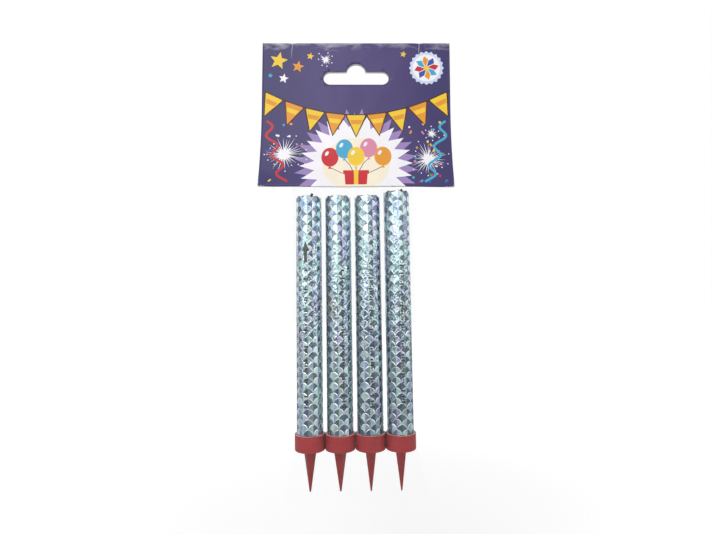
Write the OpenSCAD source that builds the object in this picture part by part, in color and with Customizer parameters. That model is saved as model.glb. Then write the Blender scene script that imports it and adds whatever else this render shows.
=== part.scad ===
// Hanging retail pack of cake fountains: a folded header card holds a clear film bag,
// and the bag holds a row of foil-wrapped fountains, each in a moulded base with a spike.
// Millimetres. +Z is up, the front faces -Y, and the origin is the centre of the hang
// slot's round lobe, midway between the two panels of the card.

/* [Header card] */
// Width of the folded card
card_w = 92; // [80:1:120]
// Drop of each panel from the fold to its lower edge
card_h = 74; // [66:1:100]
// Height by which the rear panel ends above the front one
rear_short = 4; // [0:0.5:10]
// Thickness of the board
card_t = 0.4; // [0.25:0.05:0.6]
// Length of each panel that hangs straight below the fold
card_straight = 33; // [30:1:45]
// Extra half gap at the lower edges, past the film that the panels cover
card_spread = 1; // [0.6:0.1:3]

/* [Hang slot] */
// Overall width of the slot
slot_w = 32; // [24:1:40]
// Height of the slot's straight bar
slot_bar_h = 6.6; // [5:0.1:8]
// Radius of the round lobe that the hook sits in
lobe_r = 4.7; // [4:0.1:6]
// Height of the lobe's centre above the bar's lower edge
lobe_rise = 5.9; // [4:0.1:7]
// Distance from the fold down to the top of the lobe
slot_drop = 10.8; // [6:0.2:14]

/* [Clear bag] */
// Thickness of the film
film_t = 0.12; // [0.08:0.02:0.2]
// Spare flat width of the bag round the row of cups
bag_ease = 0.4; // [0:0.1:4]
// Height of the welded seam across the bottom
seam_h = 4; // [2:0.5:10]
// Distance from the slot's lower edge down to the bag's mouth
mouth_drop = 2.5; // [1:0.5:4]
// How far the film sinks between two fountains
film_sag = 1.1; // [0:0.1:2]
// Height over which the sunk film runs out under the card
sag_fade = 24; // [10:1:40]
// Half of the slit between the two films at the mouth
mouth_slit = 0.18; // [0.1:0.02:0.4]
// Thickness of the tape that holds the bag in the card
tape_t = 0.2; // [0.15:0.05:0.3]
// Width of the tape
tape_w = 56; // [30:1:62]
// How far a fountain can rise before the closing film stops it
rise = 4; // [2:0.5:8]
// Lean of the bag and its fountains, to the left seen from the front
bag_lean = 0.74; // [0:0.02:0.9]

/* [Fountain tubes] */
// Number of fountains in the row
fountain_count = 4; // [2:1:6]
// Length of each paper tube
tube_len = 117; // [90:1:160]
// Outer diameter of each paper tube
tube_d = 11.8; // [10:0.1:16]
// Wall of each paper tube
tube_wall = 1.2; // [0.8:0.1:2]
// Radius of the tube's upper outer edge, pressed round by the foil
tube_edge_r = 0.8; // [0.3:0.1:1.1]
// Thickness of the foil wrap
foil_t = 0.1; // [0.06:0.02:0.2]
// Width of the foil folded in over the tube's upper end
foil_lip = 2.6; // [1.6:0.1:3.2]
// Height that a tube pushed less far home stands above its neighbours
proud_lift = 2; // [0:0.1:3]

/* [Bases] */
// Height of the cup
cup_h = 7.4; // [6:0.1:12]
// Wall of the cup at its rim
cup_wall = 0.96; // [0.5:0.02:1.2]
// Floor of the cup
cup_floor = 1.3; // [0.8:0.1:2]
// Draft of the cup's outer wall, taken off its lower radius
cup_draft = 0.05; // [0:0.05:0.3]
// Radius of the cup's lower edge
cup_edge_r = 0.6; // [0.3:0.1:1]
// Gap between neighbouring cups
cup_gap = 0.04; // [0.02:0.02:1]
// Length of the spike below the cup
spike_len = 18.9; // [12:0.1:30]
// Width of the spike across its flats at the cup
spike_w = 4.9; // [3:0.1:6]
// Diameter across the spike's rounded corners at the cup
spike_d = 6.3; // [4.8:0.1:7]
// Width of the spike across its flats at the blunt tip
spike_tip_w = 0.6; // [0.5:0.1:1.5]

/* [Filling] */
// Height of the clay plug at the bottom of the tube
plug_h = 8; // [4:0.5:15]
// Space left in the tube above the charge
head_space = 6; // [4:0.5:15]
// Thickness of the paper disc under the foil
disc_t = 0.8; // [0.5:0.1:1.5]
// Depth of the disc's upper face below the tube's end
disc_drop = 1.2; // [0.8:0.1:2]
// Diameter of the fuse
fuse_d = 1.2; // [0.8:0.1:2]
// Height of the fuse's tip above the foil
fuse_out = 1.4; // [0.5:0.1:3]
// Distance of the fuse's tip from the tube's axis
fuse_reach = 3; // [1:0.1:3.5]

/* [Hidden] */
$fn = 96;
// Segments of the large arcs that shape the panels
arc_fn = 1440;
// Segments of each rounded side of the bag
film_steps = 8;
// Segments of the sunk film between two fountains
sag_steps = 4;
// Levels of the bag along the flare of the card
flare_steps = 4;
// Clearance between pieces that are pressed together
fit = 0.03;
// Clearance between the film and the bases
slack = 0.3;
// Clearance between the film and the tubes, which are narrower than the cups
tube_slack = 0.5;
// Half of the cavity where the two films run into the weld
nip = 0.05;
// Height over which the film narrows from the cups to the tubes
narrowing_h = 8;
// Margin of the tape inside the straight part of the panels
tape_margin = 1;
// Overrun of a cut past the face that it leaves
overrun = 1;
// Turn of each base about its own axis
base_turns = [26, -23, 3, -6];
// Direction in which each fuse leans
fuse_turns = [-50, 110, 70, -15];
// Share of the proud lift that each tube has
lift_shares = [0, 0, 0, 1];

tube_r = tube_d / 2;
tube_bore_r = tube_r - tube_wall;
foil_r = tube_r + fit + foil_t;
socket_r = foil_r + fit;
cup_r = socket_r + cup_wall;
cup_foot_r = cup_r - cup_draft;
pitch = 2 * cup_r + cup_gap;
row_half = pitch * (fountain_count - 1) / 2;
cup_half = cup_r + slack + film_t;
tube_half = foil_r + tube_slack + film_t;
bag_w = 2 * row_half + PI * cup_half + bag_ease;
fold_r = mouth_slit + film_t + tape_t;

fold_z = lobe_r + slot_drop;
fold_centre_z = fold_z - fold_r - card_t;
straight_z = fold_z - card_straight;
card_bottom_z = fold_z - card_h;
slot_bottom_z = -lobe_rise;
mouth_z = slot_bottom_z - mouth_drop;
flare_drop = straight_z - card_bottom_z;
flare_out = tube_half + tape_t + card_spread - fold_r;
flare_r = (pow(flare_drop, 2) + pow(flare_out, 2)) / (2 * flare_out);
film_out = tube_half + tape_t - fold_r;
film_drop = sqrt(2 * flare_r * film_out - pow(film_out, 2));
tube_top_z = straight_z - film_drop - rise - proud_lift - foil_t - fit;
cup_z = tube_top_z - tube_len - cup_floor;
cup_rim_z = cup_z + cup_h;
spike_tip_z = cup_z - spike_len;
corner_ratio = spike_d / spike_w;
tip_share = (spike_tip_w * corner_ratio / 2 + slack - nip) / (cup_half - film_t - nip);
weld_z = (spike_tip_z - tip_share * cup_z) / (1 - tip_share);

fuse_r = fuse_d / 2;
elbow_drop = disc_drop - fuse_r - fit;
fuse_climb = elbow_drop + foil_t + fit + fuse_out;
fuse_lean = atan2(fuse_reach, fuse_climb);
fuse_run = norm([fuse_reach, fuse_climb]);

piece_names = ["spike_base", "tube", "foil_wrap", "clay_plug", "charge", "top_disc", "fuse"];
function piece_node(piece, i) = str(piece, "_", i + 1);

function row_x(i) = i * pitch - row_half;
function cycled(list, i) = list[i % len(list)];
function tube_z(i) = cup_floor + proud_lift * cycled(lift_shares, i);
function tube_end_z(i) = tube_z(i) + tube_len;

// Half gap between the panels' inner faces, at a depth below their straight part
function card_gap(depth) = fold_r + flare_r - sqrt(pow(flare_r, 2) - pow(depth, 2));

// Heights of the bag with the half thickness of its outside and its sag, from the bottom up
bag_levels = concat(
    [[weld_z - seam_h, film_t + nip, 0]],
    [[weld_z, film_t + nip, 0]],
    [[cup_z, cup_half, 0]],
    [[cup_rim_z + rise + slack, cup_half, 0]],
    [[cup_rim_z + rise + narrowing_h, tube_half, film_sag]],
    [[straight_z - film_drop - sag_fade, tube_half, film_sag]],
    [
        for (k = [0:flare_steps])
            let (depth = film_drop * (1 - k / flare_steps))
            [straight_z - depth, card_gap(depth) - tape_t, 0]
    ],
    [[mouth_z, fold_r - tape_t, 0]]
);

// Extra length of film that the waves of one side take up
function wave_gain(sag) = 2 * row_half * pow(PI * sag / pitch / 2, 2);

// Half length of the bag's long side: the girth stays the same at every level
function flat_half(level) = (bag_w - PI * level[1] - wave_gain(level[2])) / 2;

// Depth of the sunk film at a place along the row, none over a fountain
function sunk(sag, x) = sag * (1 - cos(360 * (x + row_half) / pitch)) / 2;

// One ring of the film, inset by the film inside: each half round and the long side after it
sag_count = sag_steps * (fountain_count - 1);
function film_ring(level, inset) = [
    for (side = [0, 1])
        let (turn = 1 - 2 * side)
        let (radius = level[1] - inset)
        each concat(
            [
                for (k = [0:film_steps])
                    let (angle = 180 * k / film_steps - 90)
                    turn * [flat_half(level) + radius * cos(angle), radius * sin(angle)]
            ],
            [
                for (k = [1:sag_count - 1])
                    let (x = row_half * (1 - 2 * k / sag_count))
                    turn * [x, radius - sunk(level[2], x)]
            ]
        )
];

function at_height(ring, z) = [for (p = ring) [p[0], p[1], z]];

function quad_faces(a, b, c, d) = [[a, b, c], [a, c, d]];

// Point of a ring that lies opposite another one, behind or in front of it
function opposite(i, count) = (film_steps - i + count) % count;

// Faces that close one end of the film, in a strip from its right side to its left
function end_faces(count) =
    let (first = film_steps / 2)
    let (after = first + count / 2 - 1)
    [
        for (i = [first:after])
            let (a = opposite(i, count))
            let (b = opposite(i + 1, count))
            each i == first ? [[i, i + 1, b]] : i == after ? [[i, i + 1, a]] : quad_faces(i, i + 1, b, a)
    ];

// Closed solid along a chain of rings that all have the same number of points. The sides are split along
// the same diagonals on the way up and down, so that two walls close together stay parallel
module ring_chain(rings) {
    count = len(rings[0]);
    last = (len(rings) - 1) * count;
    sides = [
        for (k = [0:len(rings) - 2])
            for (i = [0:count - 1])
                let (low = k * count)
                let (next = (i + 1) % count)
                let (down = rings[k + 1][0][2] < rings[k][0][2])
                each down
                    ? quad_faces(low + next, low + i, low + count + i, low + count + next)
                    : quad_faces(low + i, low + count + i, low + count + next, low + next)
    ];
    first_cap = end_faces(count);
    last_cap = [for (face = first_cap) [last + face[2], last + face[1], last + face[0]]];
    polyhedron(points = [for (ring = rings) each ring], faces = concat(sides, first_cap, last_cap));
}

// Half profile of a solid of revolution with a rounded upper edge
module rounded_top(r, h, edge) {
    square([r - edge, h]);
    square([r, h - edge]);
    translate([r - edge, h - edge])
        circle(edge);
}

// Leans the bag and what it holds about the level of the spikes' tips
module hung() {
    translate([0, 0, spike_tip_z])
        rotate([0, -bag_lean, 0])
            translate([0, 0, -spike_tip_z])
                children();
}

// Places a fountain piece, whose own origin is the centre of its cup's underside
module in_row(i) {
    hung()
        translate([row_x(i), 0, cup_z])
            children();
}

// Outline of the board seen from the side, for the panel on one side of the fold: the first is the rear one
module panel_profile(bottom_z) {
    translate([fold_r, straight_z])
        square([card_t, fold_centre_z - straight_z]);
    intersection() {
        translate([fold_r + flare_r, straight_z])
            difference() {
                circle(flare_r, $fn = arc_fn);
                circle(flare_r - card_t, $fn = arc_fn);
            }
        translate([fold_r, bottom_z])
            square([flare_out + 2 * card_t, straight_z - bottom_z]);
    }
    translate([0, fold_centre_z])
        intersection() {
            difference() {
                circle(fold_r + card_t);
                circle(fold_r);
            }
            square(fold_r + card_t);
        }
}

module slot_outline() {
    bar_r = slot_bar_h / 2;
    bar_half = slot_w / 2 - bar_r;
    circle(lobe_r);
    translate([-bar_half, slot_bottom_z])
        square([2 * bar_half, slot_bar_h]);
    for (side = [-1, 1])
        translate([side * bar_half, slot_bottom_z + bar_r])
            circle(bar_r);
}

module header_card() {
    color("#5a4a86")
    difference() {
        rotate([90, 0, 90])
            linear_extrude(card_w, center = true)
                for (side = [0, 1])
                    mirror([side, 0])
                        panel_profile(card_bottom_z + (1 - side) * rear_short);
        rotate([90, 0, 0])
            linear_extrude(2 * (fold_r + card_t + overrun), center = true)
                slot_outline();
    }
}

// Strip of tape between the bag and one panel: side is -1 in front and 1 behind
module tape(side) {
    tape_h = mouth_z - straight_z - 2 * tape_margin;
    tape_y = fold_r - tape_t / 2;
    color("#d8d2c0")
    hung()
        translate([0, side * tape_y, straight_z + tape_margin + tape_h / 2])
            cube([tape_w, tape_t, tape_h], center = true);
}

module clear_bag() {
    outer = [for (level = bag_levels) at_height(film_ring(level, 0), level[0])];
    inner = [
        for (k = [len(bag_levels) - 1:-1:1])
            at_height(film_ring(bag_levels[k], film_t), bag_levels[k][0])
    ];
    color("#e8f0f4", 0.25)
    hung()
        ring_chain(concat(outer, inner));
}

// Tapered side view of the spike, which also reaches up into the cup's floor
module spike_profile() {
    polygon([
        [-spike_w / 2, cup_floor / 2],
        [spike_w / 2, cup_floor / 2],
        [spike_w / 2, 0],
        [spike_tip_w / 2, -spike_len],
        [-spike_tip_w / 2, -spike_len],
        [-spike_w / 2, 0]
    ]);
}

// Square spike with rounded corners
module spike() {
    intersection() {
        rotate([90, 0, 0])
            linear_extrude(spike_d, center = true)
                spike_profile();
        rotate([90, 0, 90])
            linear_extrude(spike_d, center = true)
                spike_profile();
        union() {
            translate([0, 0, -spike_len])
                cylinder(h = spike_len, d1 = spike_tip_w * corner_ratio, d2 = spike_d);
            cylinder(h = cup_floor, d = spike_d);
        }
    }
}

module cup_profile() {
    difference() {
        union() {
            polygon([
                [0, 0],
                [cup_foot_r - cup_edge_r, 0],
                [cup_foot_r, cup_edge_r],
                [cup_r, cup_h],
                [0, cup_h]
            ]);
            translate([cup_foot_r - cup_edge_r, cup_edge_r])
                circle(cup_edge_r);
        }
        translate([0, cup_floor])
            square([socket_r, cup_h]);
    }
}

// Moulded cup that grips the tube's lower end, with the spike that goes into the cake
module spike_base(i) {
    color("#a93c40")
    in_row(i)
        rotate(cycled(base_turns, i)) {
            rotate_extrude()
                cup_profile();
            spike();
        }
}

module tube(i) {
    color("#b9a68a")
    in_row(i)
        translate([0, 0, tube_z(i)])
            rotate_extrude()
                difference() {
                    rounded_top(tube_r, tube_len, tube_edge_r);
                    square([tube_bore_r, tube_len]);
                }
}

// Foil sleeve that is folded in over the tube's upper end
module foil_wrap(i) {
    inner_h = tube_len + fit;
    color("#c3cbd3")
    in_row(i)
        translate([0, 0, tube_z(i)])
            rotate_extrude()
                difference() {
                    rounded_top(foil_r, inner_h + foil_t, tube_edge_r + fit + foil_t);
                    rounded_top(tube_r + fit, inner_h, tube_edge_r + fit);
                    square([foil_r - foil_lip, inner_h + foil_t]);
                }
}

module clay_plug(i) {
    color("#a8a29a")
    in_row(i)
        translate([0, 0, tube_z(i)])
            cylinder(h = plug_h, r = tube_bore_r - fit);
}

module charge(i) {
    color("#6d6f73")
    in_row(i)
        translate([0, 0, tube_z(i) + plug_h])
            cylinder(h = tube_len - plug_h - head_space, r = tube_bore_r - fit);
}

// Paper disc that closes the tube under the foil and guides the fuse
module top_disc(i) {
    color("#cdbb98")
    in_row(i)
        translate([0, 0, tube_end_z(i) - disc_drop - disc_t])
            difference() {
                cylinder(h = disc_t, r = tube_bore_r - fit);
                translate([0, 0, -overrun])
                    cylinder(h = disc_t + 2 * overrun, r = fuse_r + fit);
            }
}

// Fuse that stands on the charge, passes the disc and leans out over the foil
module fuse(i) {
    color("#3a3b3d")
    in_row(i)
        translate([0, 0, tube_end_z(i) - elbow_drop])
            rotate(cycled(fuse_turns, i)) {
                translate([0, 0, elbow_drop - head_space])
                    cylinder(h = head_space - elbow_drop, r = fuse_r);
                sphere(fuse_r);
                rotate([0, fuse_lean, 0])
                    cylinder(h = fuse_run, r = fuse_r);
            }
}

header_card();
tape(-1);  // tape_front
tape(1);  // tape_rear
clear_bag();
for (i = [0:fountain_count - 1]) {
    spike_base(i);
    tube(i);
    foil_wrap(i);
    clay_plug(i);
    charge(i);
    top_disc(i);
    fuse(i);
}
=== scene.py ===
"""Looks of a hanging pack of four cake fountains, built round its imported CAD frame.

The pack is a folded header card, a clear film bag under it and four foil-wrapped
fountains with red moulded bases. Lengths are millimetres here and metres in the meshes.
"""

import math
import random
from functools import partial

import bmesh
import bpy
import numpy as np
from bpy.props import FloatProperty, FloatVectorProperty, IntProperty, PointerProperty
from mathutils import Matrix, Vector, noise
from mathutils.geometry import delaunay_2d_cdt


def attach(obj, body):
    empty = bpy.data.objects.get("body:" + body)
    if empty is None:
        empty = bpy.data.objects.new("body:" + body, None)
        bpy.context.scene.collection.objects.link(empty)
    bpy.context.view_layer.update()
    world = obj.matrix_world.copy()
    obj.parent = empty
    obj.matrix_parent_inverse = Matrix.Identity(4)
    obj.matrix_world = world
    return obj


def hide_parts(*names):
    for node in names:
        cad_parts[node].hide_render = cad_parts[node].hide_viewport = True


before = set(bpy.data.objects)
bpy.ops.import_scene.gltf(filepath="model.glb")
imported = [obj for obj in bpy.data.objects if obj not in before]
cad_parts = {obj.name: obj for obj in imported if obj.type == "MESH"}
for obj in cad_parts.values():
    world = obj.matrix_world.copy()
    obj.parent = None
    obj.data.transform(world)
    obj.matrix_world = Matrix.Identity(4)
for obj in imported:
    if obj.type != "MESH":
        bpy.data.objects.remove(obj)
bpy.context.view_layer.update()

bl_info = {
    "name": "Cake fountain pack",
    "version": (1, 0, 0),
    "blender": (4, 5, 0),
    "location": "View3D > Sidebar > Fountain pack",
    "description": "Dresses the CAD frame of a hanging pack of cake fountains",
    "category": "Object",
}

MM = 0.001
FOUNTAINS = (1, 2, 3, 4)

# The card, as its CAD profile gives it
CARD_HALF = 46.0
CORNER_R = 0.8
BOARD = 0.4
FOLD_R = 0.7
FOLD_Z = 14.6
STRAIGHT_Z = -17.5
FLARE_R = 117.829
FLARE_Y = 118.529
FLARE_DROP = 41.0
REAR_SHORT = 4.0
FOLD_RUN = FOLD_R * math.pi / 2
STRAIGHT_RUN = FOLD_Z - STRAIGHT_Z
PANEL_RUN = FOLD_RUN + STRAIGHT_RUN + FLARE_R * math.asin(FLARE_DROP / FLARE_R)
REAR_RUN = FOLD_RUN + STRAIGHT_RUN + FLARE_R * math.asin((FLARE_DROP - REAR_SHORT) / FLARE_R)
# Where the fold is cracked, across the card
CRACKS = (-31.6, 30.9)

# The hang slot: a bar with round ends, and a lobe with its centre above the bar's
LOBE_R = 4.7
BAR_END_X = 12.7
BAR_END_R = 3.3
BAR_DROP = 2.6
BAR_RISE = 0.7

INKS = {
    "yellow": "#f3cb3c", "orange": "#e59a34", "brown": "#4b2d22", "white": "#f6f3f8", "cream": "#f7ecd6",
    "red": "#c9323a", "cyan": "#49a9cf", "blue": "#3f57a8", "green": "#5f9d4c", "pink": "#d98aa6",
    "lilac": "#9d86bd", "pale": "#cfdaf2",
}
# The printed garland's string: its ends below the fold, its sag and half its width
STRING_TOP = 24.5
STRING_SAG = 12.5
STRING_HALF = 46
ROSETTE = (34.5, 13.2)

# The bag's levels: height and half thickness of the film's outside
BAG_LEVELS = (
    (-204.833, 0.17), (-200.833, 0.17), (-180.122, 7.44), (-168.422, 7.44), (-160.722, 6.65),
    (-55.692, 6.65), (-49.327, 4.672), (-42.962, 3.079), (-36.596, 1.855), (-30.231, 0.989),
    (-23.865, 0.472), (-17.5, 0.3), (-8.4, 0.3),
)
BAG_WIDTH = 66.013
BAG_AROUND = 176
BAG_ROWS = 132
ROW_HALF = 21.12
FILM = 0.12
# Heights over which the film starts and ceases to sink between the fountains, to be loose, and to
# gather in pleats over the weld
SAG_STARTS = (-168.4, -160.7)
SAG_ENDS = (-79.7, -55.7)
LOOSE_STARTS = (-200, -182)
LOOSE_ENDS = (-78, -64)
PLEATS_START = (-201, -192)
PLEATS_END = (-190, -172)

# The fountains, before the bag leans
PITCH = 14.08
CUP_Z = -180.122
TIP_Z = -199.022
LEAN = math.radians(0.74)
CUP_TOP = 7.4
CUP_EDGE_R = 0.6
CUP_FOOT_R = 6.97
CUP_R = 7.02
CUP_GAP = 0.04
TUBE_Z = (1.3, 1.3, 1.3, 3.3)
FOIL_R = 6.03
FOIL_TOP = 117.13
FOIL_EDGE = 0.93
LIP_R = 3.43
# The wrap's plain sheet lies just inside the CAD foil, and its scales stand out from it
SHEET_INSET = 0.07
SHEET = 0.05
SHEET_AROUND = 72
SCALE_LIFT = 0.12
SCALE_T = 0.09
SCALE_LEAN = 0.03
SCALE_STEPS = 7
# Where a column of scales and the printed arrow stand on each wrap, in degrees from +X
PHASES = (-92, -93, -91, -88)
PRINT_TURNS = (-100, 50, 159, 41)
# Distance of the printed rows of bars round the tube, and of the bars along it
PRINT_ROW = 12.63
PRINT_STEP = 1.25
# Turn of the painted reflection's tones round each tube from one row of scales to the next, in degrees
DRIFTS = (0.3, 0.16, 0.18, 0.34)
# Swings of the painted reflection from dark to bright round a tube, and the tint of the plain sheet
PAINTED_REFLECTION_SWINGS = 12.0
SHEET_TINT = 0.72

# The camera: its place, its tilt, and its focal length on a picture this many pixels wide
CAMERA_AT = (-0.04, -224.22, -111.31)
CAMERA_TILT = 94.08
FOCAL_PX = 470.5
WIDTH_PX = 712
SENSOR = 36
# The floor's front edge and its reach, the lamps with their places and sizes, and where they aim
FLOOR_FRONT = -150
FLOOR_REACH = 3000
LAMPS = (("key", (-290, -570, 190), 640), ("fill", (560, -420, 60), 600))
AIM = (0, 0, -95)

# Settings of a node that mixes two colours, and of one that multiplies them
MIXED = {"data_type": "RGBA"}
TIMES = {"data_type": "RGBA", "blend_type": "MULTIPLY"}


def linear(code):
    """Linear RGBA of an sRGB hex colour."""
    values = [int(code[i:i + 2], 16) / 255 for i in (1, 3, 5)]
    return tuple(v / 12.92 if v <= 0.04045 else ((v + 0.055) / 1.055) ** 2.4 for v in values) + (1.0,)


def colour(name, description, code):
    """Colour property with an sRGB hex default."""
    return FloatVectorProperty(name=name, description=description, subtype="COLOR", size=4,
                               min=0, max=1, default=linear(code))


def length(name, description, millimetres):
    """Length property with a default in millimetres."""
    return FloatProperty(name=name, description=description, subtype="DISTANCE", unit="LENGTH",
                         precision=5, default=millimetres * MM)


class CardSettings(bpy.types.PropertyGroup):
    """Colours and bends of the header card."""

    violet: colour("Violet", "Printed ground in the middle of the panel", "#4f4475")
    slate: colour("Slate", "Printed ground towards the panel's sides", "#403b6a")
    core: colour("Core", "Board where the print is worn", "#e4e0e6")
    # the cut edge is coloured a dark grey-violet, far darker than the bare board inside
    cut: colour("Cut edge", "Cut edge, stained by the print", "#6a6680")
    inside: colour("Inside", "Unprinted inner face of the board", "#f6f4f1")
    curl: length("Corner curl", "How far a bent lower corner stands out", 0.4)
    bow: length("Bow", "Waviness of the panels at their lower edges", 0.22)


class BagSettings(bpy.types.PropertyGroup):
    """Looks of the clear bag."""

    film: colour("Film", "Tint of the clear film", "#f4f8fb")
    opacity: FloatProperty(name="Opacity", description="Share of light that one face of the film stops",
                           subtype="FACTOR", min=0, max=1, default=0.015)
    sag: length("Sag", "How far the film sinks between two fountains", 1.1)
    wrinkle: length("Wrinkle", "Height of the film's soft wrinkles", 0.3)


class FoilSettings(bpy.types.PropertyGroup):
    """Embossed scales of the foil wraps."""

    columns: IntProperty(name="Columns", description="Scales round one tube", min=6, max=24, default=8)
    row_step: length("Row step", "Height from one row of scales to the next", 2.35)
    tilt: FloatProperty(name="Tilt", description="How far the facets lean from the tube's surface",
                        subtype="ANGLE", default=math.radians(0.9))
    seed: IntProperty(name="Seed", description="Start of the scales' random tints and leans", default=7)
    mark: colour("Mark", "Ink of the printed dashes and arrow", "#14181b")


class BaseSettings(bpy.types.PropertyGroup):
    """Colour of the moulded bases."""

    red: colour("Red", "Moulded plastic of the bases", "#9b2225")


class StageSettings(bpy.types.PropertyGroup):
    """Floor, light and camera."""

    floor: colour("Floor", "Matt floor under the pack", "#f2f2f2")
    floor_drop: length("Floor drop", "Depth of the floor below the bag", 55)
    key: FloatProperty(name="Key", description="Power of the large soft box", unit="POWER", default=2.4)
    fill: FloatProperty(name="Fill", description="Power of the fill light", unit="POWER", default=0.7)


class PackSettings(bpy.types.PropertyGroup):
    """All settings of the pack."""

    card: PointerProperty(type=CardSettings)
    bag: PointerProperty(type=BagSettings)
    foil: PointerProperty(type=FoilSettings)
    base: PointerProperty(type=BaseSettings)
    stage: PointerProperty(type=StageSettings)


def add_node(tree, kind, *values, **named):
    """Adds a node and fills or links its inputs in use, in order or by capitalised name. The other names
    are its settings, and so is an operation after the kind. A node is linked by its first output in use."""
    kind, _, operation = kind.partition(" ")
    node = tree.nodes.new(kind if "Node" in kind else "ShaderNode" + kind)
    if operation:
        node.operation = operation
    for name, value in named.items():
        if name[0].islower():
            setattr(node, name, value)
    sockets = [socket for socket in node.inputs if socket.enabled]
    filled = list(zip(sockets, values))
    for name, value in named.items():
        if name[0].isupper():
            filled.append((next(s for s in sockets if s.name == name.replace("_", " ")), value))
    for socket, value in filled:
        if isinstance(value, bpy.types.Node):
            value = next(output for output in value.outputs if output.enabled)
        if isinstance(value, bpy.types.NodeSocket):
            tree.links.new(value, socket)
        else:
            socket.default_value = value
    return node


def new_material(name):
    """Empty node material, a function that adds nodes to it, and the socket of the place on the piece."""
    material = bpy.data.materials.new(name)
    material.use_nodes = True
    material.node_tree.nodes.clear()
    add = partial(add_node, material.node_tree)
    return material, add, add("TexCoord").outputs["Object"]


def set_ramp(node, *stops):
    """Stops of a colour ramp, each a place and an sRGB hex colour."""
    elements = node.color_ramp.elements
    while len(elements) < len(stops):
        elements.new(1.0)
    for element, (place, code) in zip(elements, stops):
        element.position = place
        element.color = linear(code)


def mesh_object(name, points, faces, materials, indices=None, smooth=True):
    """Mesh object from points in millimetres, with its place in the mesh."""
    mesh = bpy.data.meshes.new(name)
    mesh.from_pydata([tuple(c * MM for c in p) for p in points], [], faces)
    for material in materials:
        mesh.materials.append(material)
    if indices is not None:
        mesh.polygons.foreach_set("material_index", np.array(indices, np.int32))
    mesh.polygons.foreach_set("use_smooth", np.full(len(mesh.polygons), smooth))
    mesh.validate()
    piece = bpy.data.objects.new(name, mesh)
    bpy.context.scene.collection.objects.link(piece)
    return piece


def store_floats(mesh, name, values, domain="POINT"):
    """Named float attribute on the points or faces of a mesh."""
    attribute = mesh.attributes.new(name, "FLOAT", domain)
    attribute.data.foreach_set("value", np.array(values, np.float32))


def ring_faces(rings, around, closed=False):
    """Faces between neighbouring rings of points."""
    faces = []
    for ring in range(rings if closed else rings - 1):
        first, after = ring * around, (ring + 1) % rings * around
        for k in range(around):
            n = (k + 1) % around
            faces.append((first + k, first + n, after + n, after + k))
    return faces


def smooth_step(value, low, high):
    """Soft step from 0 at low to 1 at high."""
    t = min(1.0, max(0.0, (value - low) / (high - low)))
    return t * t * (3 - 2 * t)


def leaning():
    """Lean of the bag and what it holds, in millimetres."""
    at_tip = Matrix.Translation((0, 0, TIP_Z))
    return at_tip @ Matrix.Rotation(-LEAN, 4, "Y") @ at_tip.inverted()


def fountain_place(number):
    """Place of a fountain, whose own origin is the centre of its cup's underside."""
    return leaning() @ Matrix.Translation(((number - 2.5) * PITCH, 0, CUP_Z))


# Materials of the header card


def printed_board(name, middle, side):
    """Coated board, offset printed and varnished: even gloss over flat ink, pale where the print has
    cracked at the fold, with a painted sheen along the fold, and where it has rubbed off along the edges."""
    material, add, place = new_material(name)
    settings = bpy.context.scene.fountain_pack.card
    x = add("SeparateXYZ", place).outputs["X"]
    rim = add("Attribute", attribute_name="rim_mm").outputs["Fac"]
    fold = add("Attribute", attribute_name="fold_mm").outputs["Fac"]
    # the ground turns from violet to slate over the outer 30 mm of each side
    across = add("MapRange", add("Math ABSOLUTE", x), 14 * MM, 45 * MM, interpolation_type="SMOOTHSTEP")
    ground = add("Mix", across, middle, side, **MIXED)
    # ink lies a little unevenly, in clouds about 9 mm wide
    clouds = add("TexNoise", place, Scale=1 / (9 * MM), Detail=3.0)
    inked = add("Mix", 1.0, ground, add("MapRange", clouds, 0, 1, 0.92, 1.08), **TIMES)
    # rubbed corners: grains of about 0.9 mm within three quarters of a millimetre of the cut
    grains = add("TexNoise", place, Scale=1 / (0.9 * MM), Detail=4.0)
    near_rim = add("MapRange", rim, 0.0, 0.75, 0.42, -0.35)
    rubbed = add("MapRange", add("Math ADD", grains, near_rim), 0.56, 0.72, 0, 0.75)
    # broken varnish along the fold, and a painted sheen of light along the bend: pale patches, 9 mm long
    # and 3 mm high
    stretched = add("Mapping", place, Scale=(0.3, 0.6, 0.8))
    creases = add("TexNoise", stretched, Scale=1 / (2.6 * MM), Detail=4.0, Roughness=0.5, Distortion=0.4)
    near_fold = add("MapRange", fold, 0.2, 7.0, 0.24, -0.25)
    broken_varnish_and_sheen = add("MapRange", add("Math ADD", creases, near_fold), 0.54, 0.86, 0, 0.5)
    # two cracks, 0.4 mm wide and about 8 mm long, which wander by up to 1.4 mm
    wobble = add("Math MULTIPLY_ADD", creases, 1.4 * MM, x)
    left, right = [add("Math COMPARE", wobble, (crack + 0.7) * MM, 0.2 * MM) for crack in CRACKS]
    reach = add("MapRange", fold, 4.0, 9.0, 0.4, 0.0)
    cracks = add("Math MULTIPLY", add("Math ADD", left, right), reach)
    cracked_and_fold_sheen = add("Math MAXIMUM", broken_varnish_and_sheen, cracks)
    worn_and_fold_sheen = add("Math MAXIMUM", rubbed, cracked_and_fold_sheen)
    final = add("Mix", worn_and_fold_sheen, inked, settings.core, **MIXED)
    # varnish is glossy, duller where it is worn
    gloss = add("MapRange", worn_and_fold_sheen, 0, 1, 0.27, 0.6)
    # the board's slight waviness, 14 mm long, and the creases as relief
    waves = add("TexNoise", place, Scale=1 / (14 * MM), Detail=1.0)
    soft = add("Bump", Height=waves, Strength=0.25, Distance=1.5 * MM)
    relief = add("Bump", Height=cracked_and_fold_sheen, Strength=0.4, Distance=0.25 * MM, Normal=soft)
    add("OutputMaterial", add("BsdfPrincipled", Base_Color=final, Roughness=gloss, Specular_IOR_Level=0.3,
                              Normal=relief))
    return material


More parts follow.
